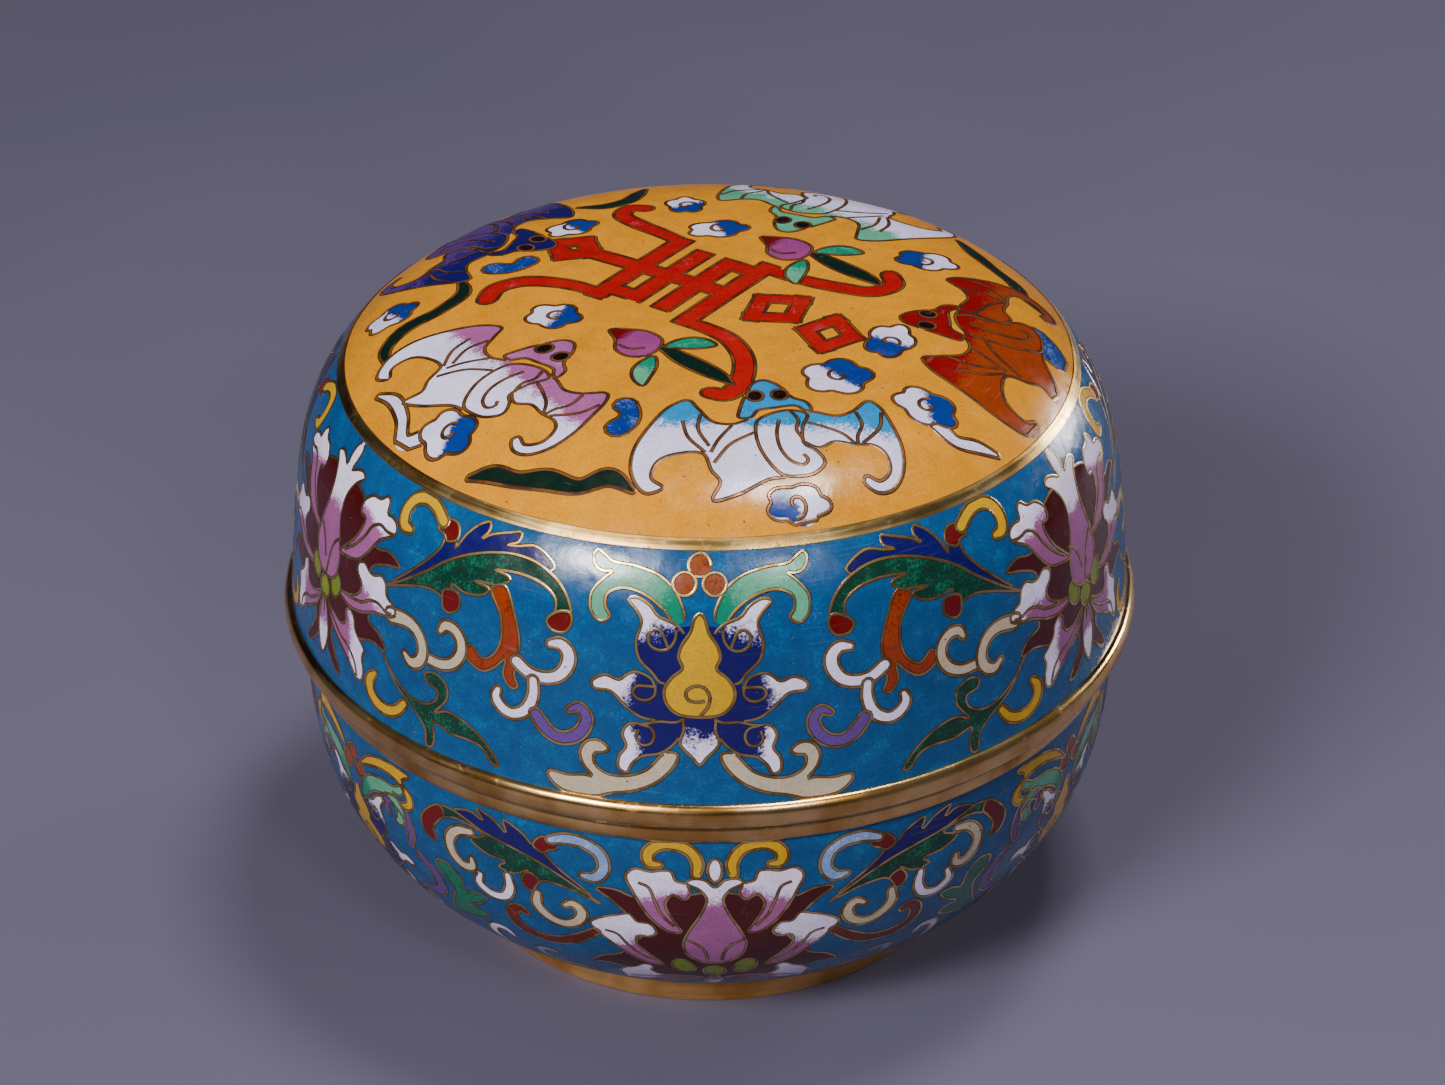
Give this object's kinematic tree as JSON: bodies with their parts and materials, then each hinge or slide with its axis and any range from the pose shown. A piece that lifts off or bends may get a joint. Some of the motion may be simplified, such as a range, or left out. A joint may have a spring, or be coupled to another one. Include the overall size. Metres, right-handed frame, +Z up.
{
  "type": "cloisonne enamel box",
  "caption": "Round lidded enamel box: rounded bowl on a brass foot ring, rolled brass rims, and a domed lift-off lid with a brass-ringed medallion.",
  "frame": {"origin": "centre of the foot ring's underside", "axes": "+Z up along the box's axis, -Y towards the front"},
  "size_m": [0.12, 0.12, 0.0922],
  "materials": {
    "bowl_enamel": "glossy turquoise enamel with many colours between brass wires",
    "lid_enamel": "glossy turquoise and yellow enamel with many colours between brass wires",
    "brass": "polished and worn"
  },
  "bodies": {
    "root": {"bowl": "bowl_enamel", "bowl_rim": "brass", "foot_ring": "brass", "lid": "lid_enamel", "lid_rim": "brass", "medallion_ring": "brass"}
  },
  "joints": []
}
